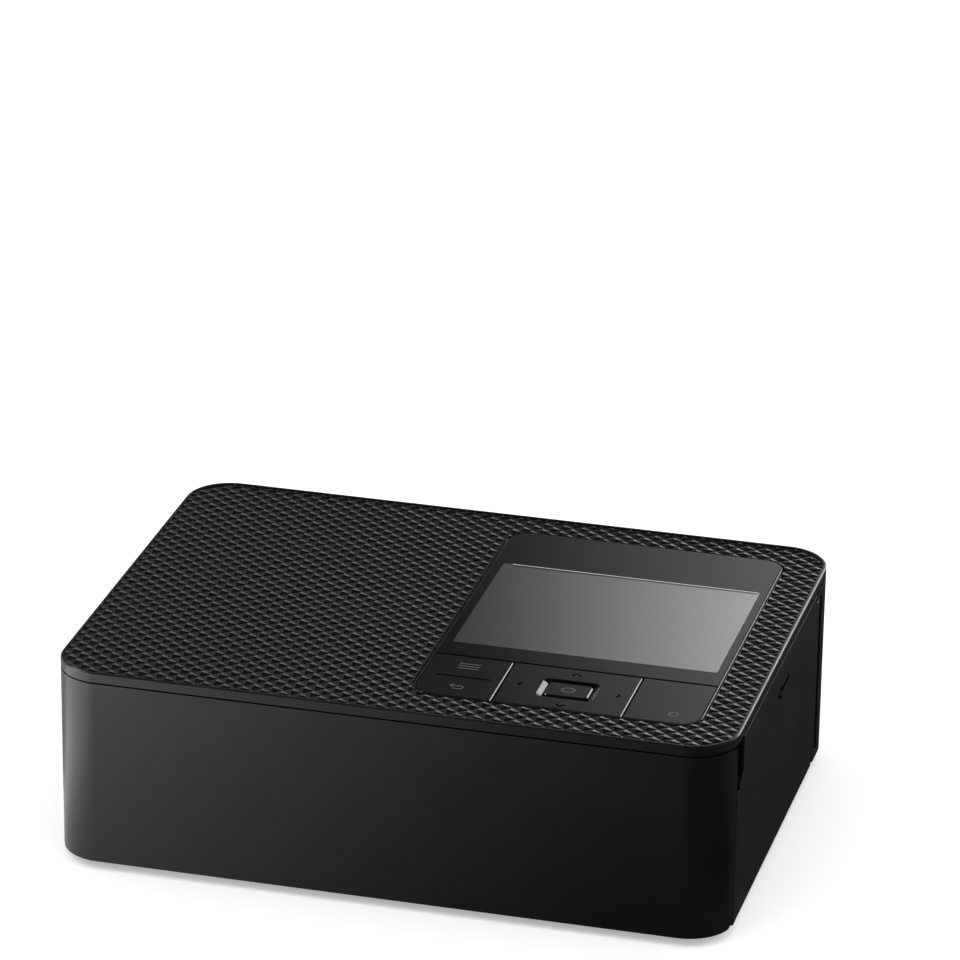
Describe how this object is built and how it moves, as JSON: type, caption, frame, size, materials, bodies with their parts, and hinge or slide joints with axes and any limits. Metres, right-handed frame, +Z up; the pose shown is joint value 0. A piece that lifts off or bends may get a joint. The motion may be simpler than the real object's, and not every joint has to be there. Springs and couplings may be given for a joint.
{
  "type": "compact photo printer",
  "caption": "Low black photo printer with diamond-patterned top, display and keys, front cover, side door, and print mechanism inside.",
  "frame": {"origin": "on the table, under the middle of the case", "axes": "+X to the right along the front, +Y from the front to the back, +Z up"},
  "size_m": [0.1822, 0.133, 0.0576],
  "materials": {
    "case_plastic": "fine spark-eroded black ABS",
    "top_plastic": "satin black ABS, diamond pattern",
    "panel_plastic": "polished black",
    "window": "clear hard-coated sheet, black border printed behind",
    "display": "display glass, switched off",
    "key_plastic": "half-gloss black",
    "ring_metal": "bright edge",
    "key_rubber": "silicone",
    "board": "glass-epoxy board",
    "switch_plastic": "moulded",
    "sheet_steel": "zinc-plated sheet",
    "steel": "ground bar",
    "spring_steel": "rolled strip",
    "aluminium": "extruded",
    "ceramic": "glazed alumina",
    "roller_rubber": "ground rubber",
    "inner_plastic": "moulded black",
    "gear_plastic": "acetal",
    "motor_steel": "drawn can",
    "brass": "hobbed",
    "catch_plastic": "moulded blue",
    "foot_rubber": "moulded"
  },
  "bodies": {
    "printer": {"lower_case": "case_plastic", "top_cover": "top_plastic", "top_plate": "top_plastic", "panel_frame": "panel_plastic", "window_sheet": "window", "display_module": "display", "key_board": "board", "key_switches": "switch_plastic", "front_fascia": "inner_plastic", "side_fascia": "inner_plastic", "left_plate": "sheet_steel", "right_plate": "sheet_steel", "gear_bracket": "sheet_steel", "top_stay": "sheet_steel", "paper_tray": "inner_plastic", "paper_ramp": "inner_plastic", "head_spring": "spring_steel", "feed_motor": "motor_steel", "ribbon_motor": "motor_steel", "fan_frame": "inner_plastic", "main_board": "board", "card_socket": "sheet_steel", "usb_sockets": "sheet_steel", "power_inlet": "inner_plastic", "feet": "foot_rubber", "case_screws": "steel"},
    "front_cover": {"front_cover": "case_plastic"},
    "side_door": {"side_door": "case_plastic", "side_hinge_rod": "steel"},
    "menu_key": {"menu_key": "key_plastic"},
    "rocker_pad": {"rocker_pad": "key_rubber"},
    "four_way_key": {"four_way_key": "key_plastic", "ok_ring": "ring_metal"},
    "ok_key": {"ok_key": "key_plastic"},
    "print_key": {"print_key": "key_plastic"},
    "print_head": {"heat_sink": "aluminium", "thermal_head": "ceramic", "head_pins": "steel"},
    "platen": {"platen_shaft": "steel", "platen_sleeve": "roller_rubber"},
    "capstan": {"capstan": "steel", "capstan_gear": "gear_plastic"},
    "pinch_roller": {"pinch_roller": "roller_rubber"},
    "pickup": {"pickup_shaft": "steel", "pickup_tyres": "roller_rubber", "pickup_gear": "gear_plastic"},
    "takeup": {"takeup_hub": "gear_plastic", "takeup_gear": "gear_plastic"},
    "supply": {"supply_hub": "gear_plastic"},
    "feed_pinion": {"feed_pinion": "brass"},
    "ribbon_pinion": {"ribbon_pinion": "brass"},
    "fan_rotor": {"fan_rotor": "inner_plastic"},
    "ribbon_catch": {"ribbon_catch": "catch_plastic"}
  },
  "joints": [
    {"name": "front_cover_hinge", "type": "hinge", "parent": "printer", "child": "front_cover", "pos_m": [0, -0.0615, 0.0065], "axis": [1, 0, 0], "range_deg": [0, 90]},
    {"name": "side_door_hinge", "type": "hinge", "parent": "printer", "child": "side_door", "pos_m": [0.0881, 0.047, 0.028], "axis": [0, 0, 1], "range_deg": [0, 90]},
    {"name": "menu_key_rock", "type": "hinge", "parent": "printer", "child": "menu_key", "pos_m": [0, -0.04135, 0.0562], "axis": [1, 0, 0], "range_deg": [-1.2, 1.2], "stiffness_Nm_per_rad": 0.2},
    {"name": "four_way_key_left_right", "type": "hinge", "parent": "printer", "child": "rocker_pad", "pos_m": [0.04255, -0.04135, 0.0562], "axis": [0, 1, 0], "range_deg": [-1.2, 1.2], "stiffness_Nm_per_rad": 0.2},
    {"name": "four_way_key_up_down", "type": "hinge", "parent": "rocker_pad", "child": "four_way_key", "pos_m": [0.04255, -0.04135, 0.0562], "axis": [1, 0, 0], "range_deg": [-1.2, 1.2], "stiffness_Nm_per_rad": 0.2},
    {"name": "ok_key_press", "type": "slide", "parent": "printer", "child": "ok_key", "axis": [0, 0, -1], "range_m": [0, 0.0004], "stiffness_N_per_m": 1500},
    {"name": "print_key_press", "type": "slide", "parent": "printer", "child": "print_key", "axis": [0, 0, -1], "range_m": [0, 0.0004], "stiffness_N_per_m": 1500},
    {"name": "print_head_lower", "type": "slide", "parent": "printer", "child": "print_head", "axis": [0, 0, -1], "range_m": [0, 0.0025], "stiffness_N_per_m": 1500, "springref_m": -0.001},
    {"name": "platen_turn", "type": "hinge", "parent": "printer", "child": "platen", "pos_m": [0, 0.007, 0.017], "axis": [1, 0, 0], "continuous": true},
    {"name": "capstan_turn", "type": "hinge", "parent": "printer", "child": "capstan", "pos_m": [0, 0.052, 0.0187], "axis": [1, 0, 0], "continuous": true},
    {"name": "pinch_roller_turn", "type": "hinge", "parent": "printer", "child": "pinch_roller", "pos_m": [0, 0.052, 0.0263], "axis": [1, 0, 0], "continuous": true},
    {"name": "pickup_turn", "type": "hinge", "parent": "printer", "child": "pickup", "pos_m": [0, -0.04003, 0.02761], "axis": [1, 0, 0], "continuous": true},
    {"name": "takeup_turn", "type": "hinge", "parent": "printer", "child": "takeup", "pos_m": [0, -0.02, 0.0357], "axis": [1, 0, 0], "continuous": true},
    {"name": "supply_turn", "type": "hinge", "parent": "printer", "child": "supply", "pos_m": [0, 0.032, 0.0357], "axis": [1, 0, 0], "continuous": true},
    {"name": "feed_motor_turn", "type": "hinge", "parent": "printer", "child": "feed_pinion", "pos_m": [0, 0.04182, 0.02888], "axis": [1, 0, 0], "continuous": true},
    {"name": "ribbon_motor_turn", "type": "hinge", "parent": "printer", "child": "ribbon_pinion", "pos_m": [0, -0.0056, 0.0357], "axis": [1, 0, 0], "continuous": true},
    {"name": "fan_turn", "type": "hinge", "parent": "printer", "child": "fan_rotor", "pos_m": [0, -0.0304, 0.0229], "axis": [1, 0, 0], "continuous": true},
    {"name": "ribbon_catch_swing", "type": "hinge", "parent": "printer", "child": "ribbon_catch", "pos_m": [0, 0.007, 0.0455], "axis": [1, 0, 0], "range_deg": [0, 35], "stiffness_Nm_per_rad": 0.01}
  ],
  "couplings": [
    {"joint": "feed_motor_turn", "follows": "capstan_turn", "ratio": -3},
    {"joint": "takeup_turn", "follows": "pickup_turn", "ratio": -1},
    {"joint": "ribbon_motor_turn", "follows": "pickup_turn", "ratio": 3}
  ]
}
